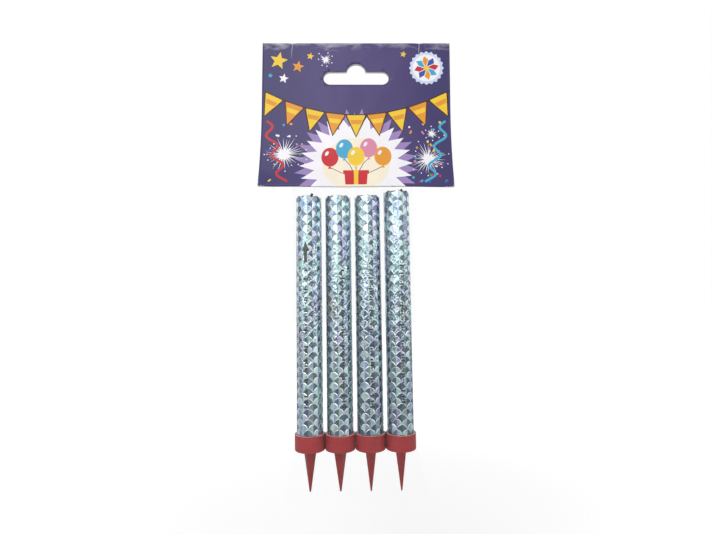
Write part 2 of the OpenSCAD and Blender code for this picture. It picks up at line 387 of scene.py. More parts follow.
def bare_board(name, tint):
    """Uncoated paperboard: matt fibres of about 0.5 mm, drawn coarser than real ones so that they show."""
    material, add, place = new_material(name)
    fibres = add("TexNoise", place, Scale=1 / (0.5 * MM), Detail=4.0)
    paper = add("Mix", 1.0, tint, add("MapRange", fibres, 0, 1, 0.86, 1.08), **TIMES)
    relief = add("Bump", Height=fibres, Strength=0.2, Distance=0.05 * MM)
    add("OutputMaterial", add("BsdfPrincipled", Base_Color=paper, Roughness=0.85, Normal=relief))
    return material


# Shape of the header card


def board_point(x, run, out):
    """Point of the board: run is the distance from the fold along the board, below 0 in front, and
    out the distance outward from the middle of the board."""
    settings = bpy.context.scene.fountain_pack.card
    side = -1 if run < 0 else 1
    a = abs(run)
    if a < FOLD_RUN:
        turn = a / FOLD_R
        normal = (math.sin(turn), math.cos(turn))
        at = (FOLD_R * normal[0], FOLD_Z + FOLD_R * normal[1])
    elif a < FOLD_RUN + STRAIGHT_RUN:
        normal = (1.0, 0.0)
        at = (FOLD_R, FOLD_Z + FOLD_RUN - a)
    else:
        turn = (a - FOLD_RUN - STRAIGHT_RUN) / FLARE_R
        normal = (math.cos(turn), math.sin(turn))
        at = (FLARE_Y - FLARE_R * normal[0], STRAIGHT_Z - FLARE_R * normal[1])
    low = smooth_step(a, 30, PANEL_RUN)
    bow = settings.bow / MM * low * (1 + math.sin(0.125 * x + 0.9 * side))
    # one lower corner of each panel curls outward
    corner = math.hypot(x - side * CARD_HALF, (PANEL_RUN if side < 0 else REAR_RUN) - a)
    bow += settings.curl / MM * (1 - smooth_step(corner, 0, 9))
    # the cracks are dents in the fold
    dents = 0.22 * sum(math.exp(-((x - crack) / 1.1) ** 2) for crack in CRACKS)
    reach = out + bow - dents * (1 - smooth_step(a, 0.6, 5))
    return (x, side * (at[0] + reach * normal[0]), at[1] + reach * normal[1])


def placed(outline, x, y, turn):
    """Outline turned and moved."""
    c, s = math.cos(turn), math.sin(turn)
    return [(x + c * u - s * v, y + s * u + c * v) for u, v in outline]


def oval(x, y, rx, ry, count=32, turn=0.0):
    """Outline of an ellipse."""
    angles = [2 * math.pi * k / count for k in range(count)]
    return placed([(rx * math.cos(a), ry * math.sin(a)) for a in angles], x, y, turn)


def star(x, y, outer, inner, points, turn=0.0):
    """Outline of a star."""
    ring = []
    for k in range(2 * points):
        r = outer if k % 2 == 0 else inner
        angle = turn + math.pi * k / points
        ring.append((x + r * math.sin(angle), y - r * math.cos(angle)))
    return ring


def ribbon(line, width):
    """Outline of a strip along a line of points."""
    left, right = [], []
    for k, (x, y) in enumerate(line):
        x0, y0 = line[max(0, k - 1)]
        x1, y1 = line[min(len(line) - 1, k + 1)]
        step = math.hypot(x1 - x0, y1 - y0)
        u, v = (y0 - y1) / step * width / 2, (x1 - x0) / step * width / 2
        left.append((x + u, y + v))
        right.append((x - u, y - v))
    return left + right[::-1]


def string_drop(x):
    """Height of the garland's string below the fold."""
    return STRING_TOP + STRING_SAG * (1 - (x / STRING_HALF) ** 2)


def printed_shapes():
    """Inks and outlines of the printed front, from the bottom layer up. Across is measured from the
    panel's middle and down from its fold."""
    shapes = []
    chance = random.Random(11)

    def put(ink, outline):
        shapes.append((ink, outline))

    # confetti
    inks = ("red", "yellow", "cyan", "white", "orange", "green", "pink", "blue")
    for k in range(110):
        x, y = chance.uniform(-44, 44), chance.uniform(40, 73)
        if y < string_drop(x) + 10 or math.hypot(x, y - 60) < 17:
            continue
        w, h = chance.uniform(0.35, 0.62), chance.uniform(0.35, 1.0)
        put(inks[k % 8], placed([(-w, -h), (w, -h), (w, h), (-w, h)], x, y, chance.uniform(0, 3)))
    # a pale burst low in the middle, with balloons and a box in front of it
    put("lilac", star(0, 63, 29.5, 22, 24, 0.1))
    put("white", star(0, 63, 27, 20, 24, 0.23))
    put("cream", oval(0, 63, 16, 14.5, 48))
    # large spark bursts at both sides and small ones above them
    for x, y, size, spikes in ((-34.5, 57.5, 10.4, 30), (34.5, 60, 9.6, 28),
                               (-15, 9, 3.6, 14), (36.5, 46.5, 3.2, 12)):
        for k in range(spikes):
            angle = 2 * math.pi * (k + chance.uniform(-0.3, 0.3)) / spikes
            reach = size * chance.uniform(0.55, 1.0)
            put("white", placed([(0.6, -0.3), (reach, 0), (0.6, 0.3)], x, y, angle))
            if k % 2:
                dot = reach + 0.9
                put("white", oval(x + dot * math.cos(angle), y + dot * math.sin(angle), 0.32, 0.32, 8))
        put("white", star(x, y, 0.36 * size, 0.2 * size, 9))
    # streamers
    for side, ink in ((-1, "red"), (1, "cyan")):
        line = [(side * (43.5 - 0.26 * t - 2.2 * math.sin(0.55 * t)), 40 + 0.9 * t)
                for t in np.linspace(0, 36, 50)]
        put(ink, ribbon(line, 1.2))
    # garland of pennants on a sagging string
    put("brown", ribbon([(x, string_drop(x)) for x in np.linspace(-46.5, 46.5, 61)], 1.0))
    for k in range(9):
        x = -40 + 10 * k
        y = string_drop(x)
        slope = math.atan(-2 * STRING_SAG * x / STRING_HALF ** 2)
        own, other = ("orange", "yellow") if k % 2 else ("yellow", "orange")
        for ink, grow in (("brown", 0.55), (own, 0.0)):
            flag = [(-4.3 - grow, -grow), (4.3 + grow, -grow), (4.3 + grow, 0.6 + grow),
                    (0, 10.6 + 1.9 * grow), (-4.3 - grow, 0.6 + grow)]
            put(ink, placed(flag, x, y, slope))
        put(other, placed([(-3.05, 2.4), (3.05, 2.4), (2.2, 4.6), (-2.2, 4.6)], x, y, slope))
    # balloons, their shine and their strings to the box
    for x, y, ink in ((-12.5, 59, "red"), (12.8, 58.5, "orange"), (-5.6, 54.5, "cyan"),
                      (6.0, 54, "pink"), (0, 58.5, "yellow")):
        put("brown", ribbon([(x, y + 5.4), (0.55 * x, y + 8.5), (0.1 * x, 68.5)], 0.32))
        put(ink, [(x - 0.9, y + 6.2), (x, y + 4.6), (x + 0.9, y + 6.2)])
        put(ink, oval(x, y, 4.1, 5.1))
        put("white", oval(x - 1.5, y - 2.0, 0.75, 1.35, 14, 0.5))
    # the box and its lid, each with a ribbon
    for ink, top, upper, foot, lower in (("red", 67.6, 5.5, 73.8, 5.0), ("yellow", 67.6, 1.0, 73.8, 1.0),
                                         ("red", 66.0, 6.1, 68.0, 6.1), ("yellow", 66.0, 1.1, 68.0, 1.1)):
        put(ink, [(-upper, top), (upper, top), (lower, foot), (-lower, foot)])
    # a party rosette and a few stars in the upper corners
    put("pale", star(*ROSETTE, 8.6, 7.7, 20))
    put("white", oval(*ROSETTE, 6.7, 6.7, 40))
    petal = [(0.5, -0.35), (3.4, -1.9), (6.0, -1.2), (4.4, 1.0)]
    for k in range(8):
        put(("red", "cyan", "orange", "blue")[k % 4], placed(petal, *ROSETTE, k * math.pi / 4))
    put("yellow", oval(*ROSETTE, 1.3, 1.3, 20))
    for ink, x, y, size in (("yellow", -38, 9.5, 4.6), ("orange", -28.5, 12.5, 3.1),
                            ("white", -35.5, 18.5, 2.5), ("yellow", -22.5, 7.2, 1.9),
                            ("yellow", 23.2, 6.2, 1.7), ("cyan", -42, 17, 1.3)):
        put(ink, star(x, y, size, 0.44 * size, 5, 0.2))
    return shapes


def rear_shapes():
    """Ink and outlines of the print on the rear: a border of stars round a bare field."""
    places = [(x, y) for x in range(-39, 40, 13) for y in (8, 63)]
    places += [(x, y) for x in (-39, 39) for y in (19, 30, 41, 52)]
    shapes = []
    for x, y in places:
        size = 2.6 if (x // 13 + y // 11) % 2 else 1.5
        shapes.append(("lilac", star(x, y, size, 0.44 * size, 5, 0.2)))
    return shapes


def slot_outline():
    """Outline of the hang slot, across and down from the fold."""
    ring = []
    # the frame's origin is the centre of the lobe
    centre = FOLD_RUN + FOLD_Z
    start = math.asin(BAR_RISE / LOBE_R)
    for k in range(33):
        angle = start + (math.pi - 2 * start) * k / 32
        ring.append((LOBE_R * math.cos(angle), centre - LOBE_R * math.sin(angle)))
    for side, first in ((-1, math.pi / 2), (1, -math.pi / 2)):
        for k in range(17):
            angle = first + math.pi * k / 16
            ring.append((side * BAR_END_X + BAR_END_R * math.cos(angle),
                         centre + BAR_DROP - BAR_END_R * math.sin(angle)))
    return ring


def card_outline(downs, columns):
    """Outline of the unfolded card, with points along its edges so that they follow fold and bow."""
    runs = [run for run in [-d for d in downs[:0:-1]] + downs if run < REAR_RUN - CORNER_R]
    outline = []
    for x, y, first, edge in ((1, 1, 0, [(x, REAR_RUN) for x in columns[::-1]]),
                              (-1, 1, 90, [(-CARD_HALF, run) for run in runs[::-1]]),
                              (-1, -1, 180, [(x, -PANEL_RUN) for x in columns]),
                              (1, -1, 270, [(CARD_HALF, run) for run in runs])):
        for k in range(5):
            angle = math.radians(first + 22.5 * k)
            end = (REAR_RUN if y > 0 else PANEL_RUN) - CORNER_R
            outline.append((x * (CARD_HALF - CORNER_R) + CORNER_R * math.cos(angle),
                            y * end + CORNER_R * math.sin(angle)))
        outline += edge
    return outline


def card_mesh(name, inks, inside, edge):
    """Folded board with its printed regions, its slot and its thickness as one closed mesh."""
    # a grid of inner points, about 1.9 mm wide and 1.6 mm high, bends with the board
    downs = list(np.linspace(0, FOLD_RUN, 7)) + list(np.arange(FOLD_RUN + 0.8, PANEL_RUN - 0.6, 1.6))
    columns = list(np.linspace(-44.6, 44.6, 48))
    regions = [("ground", card_outline(downs, columns))]
    regions += [(ink, [(x, -y) for x, y in shape]) for ink, shape in printed_shapes()] + rear_shapes()
    for side in (-1, 1):
        regions.append(("slot", [(x, side * y) for x, y in slot_outline()]))
    points, faces = [], []
    for ink, shape in regions:
        # the triangulation fills what lies to the left of an outline
        area = sum(a[0] * b[1] - b[0] * a[1] for a, b in zip(shape, shape[1:] + shape[:1]))
        faces.append(list(range(len(points), len(points) + len(shape))))
        points += shape if area > 0 else shape[::-1]
    for down in downs:
        for x in columns:
            points += [(x, down), (x, -down)] if down > 0 else [(x, 0.0)]
    found = delaunay_2d_cdt([Vector(p) for p in points], [], faces, 1, 1e-5, True)
    flat, triangles, origins = found[0], found[2], found[5]
    order = list(inks)
    slots, kept = [], []
    for triangle, origin in zip(triangles, origins):
        names = [regions[k][0] for k in sorted(origin)]
        if "ground" not in names or "slot" in names:
            continue
        a, b, c = (flat[k] for k in triangle)
        if (b - a).cross(c - a) < 0:
            triangle = triangle[::-1]
        kept.append(tuple(triangle))
        slots.append(order.index(names[-1]))
    used = sorted({k for t in kept for k in t})
    renumber = {k: n for n, k in enumerate(used)}
    kept = [tuple(renumber[k] for k in t) for t in kept]
    flat = [flat[k] for k in used]
    count = len(flat)
    outer = [board_point(p.x, p.y, BOARD / 2) for p in flat]
    inner = [board_point(p.x, p.y, -BOARD / 2) for p in flat]
    sides = {(a, b) for t in kept for a, b in zip(t, t[1:] + t[:1])}
    rims = sorted((a, b) for a, b in sides if (b, a) not in sides)
    walls = [(b, a, a + count, b + count) for a, b in rims]
    back = [tuple(k + count for k in t[::-1]) for t in kept]
    materials = [inks[k] for k in order] + [inside, edge]
    indices = slots + [len(order)] * len(back) + [len(order) + 1] * len(walls)
    piece = mesh_object(name, outer + inner, kept + back + walls, materials, indices)
    rim = []
    for p in flat:
        side, end = CARD_HALF - abs(p.x), (REAR_RUN if p.y > 0 else PANEL_RUN) - abs(p.y)
        # only the corners are rubbed through
        rim.append(min(side, end) + 0.45 * smooth_step(math.hypot(side, end), 1.5, 7))
    store_floats(piece.data, "rim_mm", rim * 2)
    store_floats(piece.data, "fold_mm", [abs(p.y) for p in flat] * 2)
    return piece


class FOUNTAIN_PACK_OT_header_card(bpy.types.Operator):
    """Make the folded header card with its printed front"""

    bl_idname = "fountain_pack.header_card"
    bl_label = "Header card"

    def execute(self, context):
        settings = context.scene.fountain_pack.card
        ground = printed_board("Coated board, varnished violet print", settings.violet, settings.slate)
        inks = {"ground": ground}
        for ink, code in INKS.items():
            inks[ink] = printed_board(f"Coated board, varnished {ink} print", linear(code), linear(code))
        inside = bare_board("Uncoated paperboard, inner face", settings.inside)
        # the cut edge gets the dark grey-violet colour
        edge = bare_board("Uncoated paperboard, cut edge", settings.cut)
        card = card_mesh("card_printed", inks, inside, edge)
        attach(card, "pack")
        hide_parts("header_card")
        return {"FINISHED"}


# Clear bag


def clear_film(name):
    """Cast polypropylene film: clear and glossy, with faint stretch lines, seen mostly by its glints."""
    material, add, place = new_material(name)
    settings = bpy.context.scene.fountain_pack.bag
    # stretch lines about 1.5 mm apart run down the film
    stretched = add("Mapping", place, Scale=(1.0, 1.0, 0.06))
    lines = add("TexNoise", stretched, Scale=1 / (1.5 * MM), Detail=2.0)
    haze = add("MapRange", lines, 0, 1, 0.05, 0.16)
    relief = add("Bump", Height=lines, Strength=0.15, Distance=0.1 * MM)
    add("OutputMaterial", add("BsdfPrincipled", Base_Color=settings.film, Roughness=haze, IOR=1.49,
                              Alpha=settings.opacity, Normal=relief))
    return material


def acrylic_tape(name):
    """Acrylic tape on polypropylene: slightly yellow and glossy, with flow lines about 0.8 mm apart."""
    material, add, place = new_material(name)
    flow = add("TexNoise", add("Mapping", place, Scale=(0.1, 1.0, 1.0)), Scale=1 / (0.8 * MM), Detail=2.0)
    tint = add("Mix", flow, linear("#d9d2bd"), linear("#e9e4d3"), **MIXED)
    gloss = add("MapRange", flow, 0, 1, 0.12, 0.3)
    add("OutputMaterial", add("BsdfPrincipled", Base_Color=tint, Roughness=gloss))
    return material


def dress(node, material):
    """Gives a CAD node a material."""
    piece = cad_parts[node]
    piece.data.materials.clear()
    piece.data.materials.append(material)


def film_point(z, share, inset):
    """Point of the film's ring at a height. Share runs once round the bag."""
    settings = bpy.context.scene.fountain_pack.bag
    half = float(np.interp(z, *zip(*BAG_LEVELS)))
    # the film sinks between the fountains, from the cups up to the card
    sag = settings.sag / MM * smooth_step(z, *SAG_STARTS) * (1 - smooth_step(z, *SAG_ENDS))
    flat = (BAG_WIDTH - math.pi * half - 2 * ROW_HALF * (math.pi * sag / PITCH / 2) ** 2) / 2
    radius = max(half - inset, 0.02)
    # half of the ring is a round side and a flat panel, and the other half is the same, turned about
    arc = math.pi * half
    turns, way = divmod((share % 1.0) * 2 * (arc + 2 * flat), arc + 2 * flat)
    if way < arc:
        angle = way / half - math.pi / 2
        n = (math.cos(angle), math.sin(angle))
        x, y = flat + radius * n[0], radius * n[1]
    else:
        n = (0.0, 1.0)
        x, y = flat - (way - arc), radius
    if turns:
        x, y, n = -x, -y, (-n[0], -n[1])
    # it also wrinkles outward, but is flat at the weld and in the card
    loose = smooth_step(z, *LOOSE_STARTS) * (1 - smooth_step(z, *LOOSE_ENDS))
    sink = sag * (0.5 + 0.5 * math.cos(2 * math.pi * x / PITCH)) * abs(n[1]) if abs(x) < ROW_HALF else 0.0
    swell = noise.noise(Vector((0.16 * x, 0.3 * y, 0.045 * z + 3)))
    swell += 0.6 * noise.noise(Vector((0.4 * x + 0.12 * z, y, 0.1 * z)))
    pleats = smooth_step(z, *PLEATS_START) * (1 - smooth_step(z, *PLEATS_END))
    swell += 1.3 * pleats * math.sin(0.62 * x + 0.25 * (z + 200) * (1 if x < 0 else -1)) + 0.4
    push = settings.wrinkle / MM * max(swell, -0.2) * loose - sink
    return (x + push * n[0], y + push * n[1], z)


class FOUNTAIN_PACK_OT_clear_bag(bpy.types.Operator):
    """Make the clear film bag, lofted, sagging between the fountains and welded at the bottom"""

    bl_idname = "fountain_pack.clear_bag"
    bl_label = "Clear bag"

    def execute(self, context):
        levels = [level[0] for level in BAG_LEVELS]
        heights = sorted({round(z, 3) for z in np.linspace(levels[0], levels[-1], BAG_ROWS)} | set(levels))
        # the outside goes up, and the inside comes down to the weld
        rings = [(z, 0.0) for z in heights] + [(z, FILM) for z in heights[::-1] if z >= levels[1]]
        lean = leaning()
        points = [tuple(lean @ Vector(film_point(z, k / BAG_AROUND, inset)))
                  for z, inset in rings for k in range(BAG_AROUND)]
        faces = ring_faces(len(rings), BAG_AROUND)
        # each end closes by joining the ring's front to its back
        quarter = BAG_AROUND // 4
        for first, flip in ((0, True), ((len(rings) - 1) * BAG_AROUND, False)):
            for k in range(BAG_AROUND // 2 - 1):
                places = (quarter + k, quarter + k + 1, quarter - k - 2, quarter - k - 1)
                a, b, c, d = (first + place % BAG_AROUND for place in places)
                face = [a, b, c] if a == d else [a, b, d] if b == c else [a, b, c, d]
                faces.append(tuple(face[::-1] if flip else face))
        bag = mesh_object("bag_film", points, faces, [clear_film("Polypropylene film, clear")])
        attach(bag, "pack")
        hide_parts("clear_bag")
        tape = acrylic_tape("Acrylic tape, clear")
        for node in ("tape_front", "tape_rear"):
            dress(node, tape)
        return {"FINISHED"}


# Foil wraps


def scale_foil(name):
    """Holographic foil, embossed in scales: each half of a scale mirrors the room over a painted
    reflection, a pale tint set by where the half faces round the tube, and a painted highlight runs along
    each scale's bevelled upper edge."""
    material, add, place = new_material(name)
    settings = bpy.context.scene.fountain_pack.foil
    # the tint attribute carries the scales' painted reflection, and a fixed tone on the plain sheet
    tint = add("Attribute", attribute_name="tint").outputs["Fac"]
    bevel = add("Attribute", attribute_name="bevel").outputs["Fac"]
    at = add("SeparateXYZ", place).outputs
    # painted light and shade: the wraps are darkened to the right and at their lower ends, and lightened
    # towards their upper ends; where they turn away from the eye they get a painted sheen
    painted_shade_across = add("MapRange", at["X"], -24 * MM, 24 * MM, 0.1, -0.14)
    upper = add("MapRange", at["Z"], -112 * MM, -78 * MM)
    painted_edge_sheen = add("LayerWeight", 0.5).outputs["Facing"]
    painted_light_gain = add("Math MULTIPLY_ADD", painted_edge_sheen, 0.18, add("Mix", upper, painted_shade_across, 0.09))
    # the hologram's grain, 0.9 mm wide, as painted glints and dark specks, strongest in the middle of the
    # wraps
    grain = add("TexNoise", place, Scale=1 / (0.9 * MM), Detail=1.0)
    painted_glints = add("MapRange", grain, 0.34, 0.66, -0.64, 0.5)
    over = add("MapRange", at["Z"], -145 * MM, -122 * MM)
    under = add("MapRange", at["Z"], -98 * MM, -78 * MM, 1.0, 0.5)
    amount = add("Math MULTIPLY", over, under)
    tones = add("ValToRGB", add("Math MULTIPLY_ADD", painted_glints, amount, add("Math ADD", tint, painted_light_gain)))
    set_ramp(tones, (0.0, "#6b767e"), (0.3, "#8b979f"), (0.55, "#a9b6c2"), (0.8, "#dcebee"),
             (1.0, "#fbfdfd"))
    # drifts of colour lie over the facets in streaks, 3 mm wide and 24 mm long
    long = add("Mapping", place, Scale=(1.0, 1.0, 0.125))
    hues = add("ValToRGB", add("TexNoise", long, Scale=1 / (3 * MM), Detail=1.0))
    set_ramp(hues, (0.3, "#bab5e6"), (0.4, "#dfe3ec"), (0.5, "#c2f0e8"), (0.56, "#e9efee"),
             (0.62, "#aecbf4"), (0.72, "#d3d4c4"))
    drifted = add("Mix", 0.85, tones, hues, **TIMES)
    # painted highlight: the bevel faces are mixed towards near white
    lit = add("Mix", add("Math MULTIPLY", bevel, 0.45), drifted, linear("#f2f7f8"), **MIXED)
    # print: three lengthwise rows of plain bars, 12.6 mm apart round the tube, and one upward arrow
    spot = add("SeparateXYZ", add("UVMap", uv_map="foil")).outputs
    around, along = spot["X"], spot["Y"]
    beside = add("Math ABSOLUTE", add("Math WRAP", around, -PRINT_ROW / 2, PRINT_ROW / 2))
    # each bar has its own width
    beats = add("Math DIVIDE", along, PRINT_STEP)
    chance = add("TexWhiteNoise", add("Math FLOOR", beats), noise_dimensions="1D")
    line = add("Math LESS_THAN", beside, add("MapRange", chance, 0.1, 1.0, 0.0, 1.15))
    dash = add("Math LESS_THAN", add("Math FRACT", beats), 0.6)
    middle = add("Math COMPARE", along, 50.0, 32.0)
    dashes = add("Math MULTIPLY", add("Math MULTIPLY", line, dash), middle)
    across = add("Math ABSOLUTE", around)
    neck, point = 90.8, 95.6
    flank = add("MapRange", along, neck, point, 1.8, 0.0)
    head = add("Math MULTIPLY", add("Math LESS_THAN", across, flank), add("Math GREATER_THAN", along, neck))
    shaft = add("Math MULTIPLY", add("Math COMPARE", along, 88.2, 2.7), add("Math LESS_THAN", across, 0.8))
    arrow = add("Math MAXIMUM", head, shaft)
    # the ink is thin, and the foil glints through it
    thin = add("Math MULTIPLY", add("Math MAXIMUM", arrow, dashes), 0.97)
    inked = add("Mix", thin, lit, settings.mark, **MIXED)
    metal = add("MapRange", thin, 0, 1, 1.0, 0.0)
    # handling has dulled the foil in patches of about 5 mm
    dull = add("TexNoise", place, Scale=1 / (5 * MM), Detail=3.0)
    rough = add("MapRange", dull, 0.3, 0.7, 0.2, 0.34)
    add("OutputMaterial", add("BsdfPrincipled", Base_Color=inked, Metallic=metal, Roughness=rough))
    return material


def scale_half(side, columns, step):
    """Right or left half of one scale: a flat facet from the scale's ridge to its tip, with a round top and
    a bevelled upper edge. Its own Z faces outward."""
    half = FOIL_R * math.sin(math.pi / columns)
    drop = FOIL_R * (1 - math.cos(math.pi / columns))
    n = SCALE_STEPS
    turns = [math.pi / 2 * k / n for k in range(n + 1)]
    top = [(half * math.sin(a), step * math.cos(a)) for a in turns]
    crest = [(0.95 * x - 0.14 * math.sin(2 * a), 0.94 * y - 0.14 * math.sin(2 * a))
             for (x, y), a in zip(top, turns)]
    foot = [(half - half * math.sin(a), step * math.cos(a) - step) for a in turns]
    # the facet leans outward to its top
    points = [(side * x, y, SCALE_LEAN * y / step - drop * x / half - depth)
              for depth, ring in ((0, crest + foot), (SCALE_T, top + foot[1:])) for x, y in ring]
    low = 2 * n + 2
    faces = [tuple(range(low))[::-1]]
    faces += [(k, k + 1, low + 1 + k, low + k) for k in range(n)]
    # walls along the foot and an underside close the scale up to its ridge, where the other half meets it
    faces += [(n, n + 1, low + n)]
    faces += [(n + 1 + k, n + 2 + k, low + n + 1 + k, low + n + k) for k in range(n)]
    faces += [tuple(range(low, len(points)))]
    if side < 0:
        faces = [face[::-1] for face in faces]
    piece = mesh_object("scale_half", points, faces, [], smooth=False)
    store_floats(piece.data, "bevel", [0.0] + [1.0] * n + [0.0] * (n + 2), "FACE")
    return piece


def scale_tree():
    """Geometry Nodes tree that covers a foil sleeve with staggered rows of scales."""
    tree = bpy.data.node_groups.new("Embossed foil scales", "GeometryNodeTree")
    sockets = {"Geometry": ["Sleeve"], "Object": ["Right half", "Left half"],
               "Int": ["Columns", "Rows", "Seed"], "Material": ["Material"],
               "Float": ["Row step", "Top height", "Radius", "Phase", "Tilt", "Drift"]}
    for kind, names in sockets.items():
        for name in names:
            tree.interface.new_socket(name, in_out="INPUT", socket_type="NodeSocket" + kind)
    tree.interface.new_socket("Foil", in_out="OUTPUT", socket_type="NodeSocketGeometry")
    add = partial(add_node, tree)
    given = add("NodeGroupInput").outputs
    columns, phase, tilt, seed = (given[name] for name in ("Columns", "Phase", "Tilt", "Seed"))
    points = add("GeometryNodePoints", add("Math MULTIPLY", columns, given["Rows"]))
    index = add("GeometryNodeInputIndex")
    row = add("Math FLOOR", add("Math DIVIDE", index, columns))
    column = add("Math MODULO", index, columns)
    staggered = add("Math MULTIPLY_ADD", add("Math MODULO", row, 2.0), 0.5, column)
    angle = add("Math MULTIPLY_ADD", add("Math DIVIDE", staggered, columns), 2 * math.pi, phase)
    height = add("Math SUBTRACT", given["Top height"], add("Math MULTIPLY", row, given["Row step"]))
    outward = add("CombineXYZ", X=given["Radius"], Z=height)
    spin = add("CombineXYZ", Z=angle)
    spot = add("VectorRotate", Vector=outward, Rotation=spin, rotation_type="EULER_XYZ")
    moved = add("GeometryNodeSetPosition", points, Position=spot)
    # each scale leans a little its own way
    less = add("Math MULTIPLY", tilt, -1.0)
    second, third = (add("Math ADD", seed, more) for more in (1.0, 2.0))
    sway = add("FunctionNodeRandomValue", less, tilt, Seed=seed, data_type="FLOAT")
    nod = add("FunctionNodeRandomValue", less, tilt, Seed=second, data_type="FLOAT")
    lift = add("Math ADD", nod, math.pi / 2)
    yaw = add("Math ADD", add("Math ADD", angle, sway), math.pi / 2)
    turn = add("FunctionNodeEulerToRotation", add("CombineXYZ", X=lift, Z=yaw))
    # painted reflection: a half's tint swings from dark to bright every 30 degrees round the tube from the
    # side facing the front, and drifts with height
    far = math.radians(2.2)
    stray = add("FunctionNodeRandomValue", -far, far, Seed=third, data_type="FLOAT")
    slow = add("Math MULTIPLY_ADD", row, 0.1, seed)
    wander = add("TexNoise", W=slow, Scale=1.0, Detail=1.0, noise_dimensions="1D")
    wandered = add("Math MULTIPLY_ADD", add("Math SUBTRACT", wander, 0.5), math.radians(8), stray)
    drifted = add("Math MULTIPLY_ADD", row, given["Drift"], wandered)
    faced = add("Math SUBTRACT", add("Math SUBTRACT", angle, phase), drifted)
    joined = add("GeometryNodeJoinGeometry", given["Sleeve"])
    for half, lean in (("Right half", math.radians(4)), ("Left half", math.radians(-4))):
        source = add("GeometryNodeObjectInfo", given[half]).outputs["Geometry"]
        scales = add("GeometryNodeInstanceOnPoints", moved, Instance=source, Rotation=turn)
        swing = add("Math MULTIPLY_ADD", faced, PAINTED_REFLECTION_SWINGS, PAINTED_REFLECTION_SWINGS * lean)
        painted_reflection = add("Math MULTIPLY_ADD", add("Math COSINE", swing), 0.5, 0.5)
        tinted = add("GeometryNodeStoreNamedAttribute", scales, Name="tint", Value=painted_reflection, data_type="FLOAT",
                     domain="INSTANCE")
        tree.links.new(tinted.outputs[0], joined.inputs[0])
    real = add("GeometryNodeRealizeInstances", joined)
    add("NodeGroupOutput", add("GeometryNodeSetMaterial", real, Material=given["Material"]))
    return tree


def sleeve_mesh(number):
    """Points and faces of the plain foil sleeve, from its lower edge outside, over the folded top, and back
    inside."""
    chance = random.Random(30 + number)
    folds = [chance.uniform(-1, 1) for k in range(SHEET_AROUND)]
    skin = FOIL_R - SHEET_INSET
    bend = skin - FOIL_R + FOIL_EDGE
    shoulder, bend_z = skin - bend, FOIL_TOP - bend
    rings = [(skin, z, 0.0) for z in np.linspace(0, bend_z, 12)]
    rings += [(shoulder + bend * math.cos(a), bend_z + bend * math.sin(a), math.sin(a) ** 2)
              for a in np.linspace(0, math.pi / 2, 7)[1:]]
    rings += [(r, FOIL_TOP, 1.0 + (shoulder - r) * 0.7) for r in np.linspace(shoulder, LIP_R, 5)[1:]]
    under = []
    for r, z, fold in rings[::-1]:
        if r <= shoulder + 0.001:
            under.append((r, z - SHEET, fold))
        elif z > bend_z + 0.001:
            share = 1 - SHEET / bend
            under.append((shoulder + (r - shoulder) * share, bend_z + (z - bend_z) * share, fold))
        else:
            under.append((r - SHEET, z, fold))
    points = []
    for r, z, fold in rings + under:
        for k in range(SHEET_AROUND):
            angle = 2 * math.pi * k / SHEET_AROUND
            # pleats pressed into the folded end
            waves = 0.09 * math.sin(9 * angle + number) + 0.07 * math.sin(16 * angle + 2 * number)
            ragged = 0.4 * math.sin(5 * angle + number) + 0.3 * folds[k - 1]
            radius = r + 0.5 * max(0.0, fold - 1) * ragged
            pleat = fold * (waves + 0.07 * folds[k])
            points.append((radius * math.cos(angle), radius * math.sin(angle), z + pleat))
    return points, ring_faces(len(rings) + len(under), SHEET_AROUND, closed=True)


def print_map(mesh, turn):
    """UV map of the foil's print: millimetres round the tube from the arrow, and up from the tube's end."""
    mesh.uv_layers.new(name="foil")
    layer = mesh.uv_layers["foil"]
    for face in mesh.polygons:
        middle = math.atan2(face.center.y, face.center.x)
        start = (middle - turn + math.pi) % (2 * math.pi) - math.pi
        for corner in face.loop_indices:
            at = mesh.vertices[mesh.loops[corner].vertex_index].co
            angle = math.atan2(at.y, at.x) - middle
            angle = (angle + math.pi) % (2 * math.pi) - math.pi + start
            layer.data[corner].uv = (angle * FOIL_R, at.z / MM)


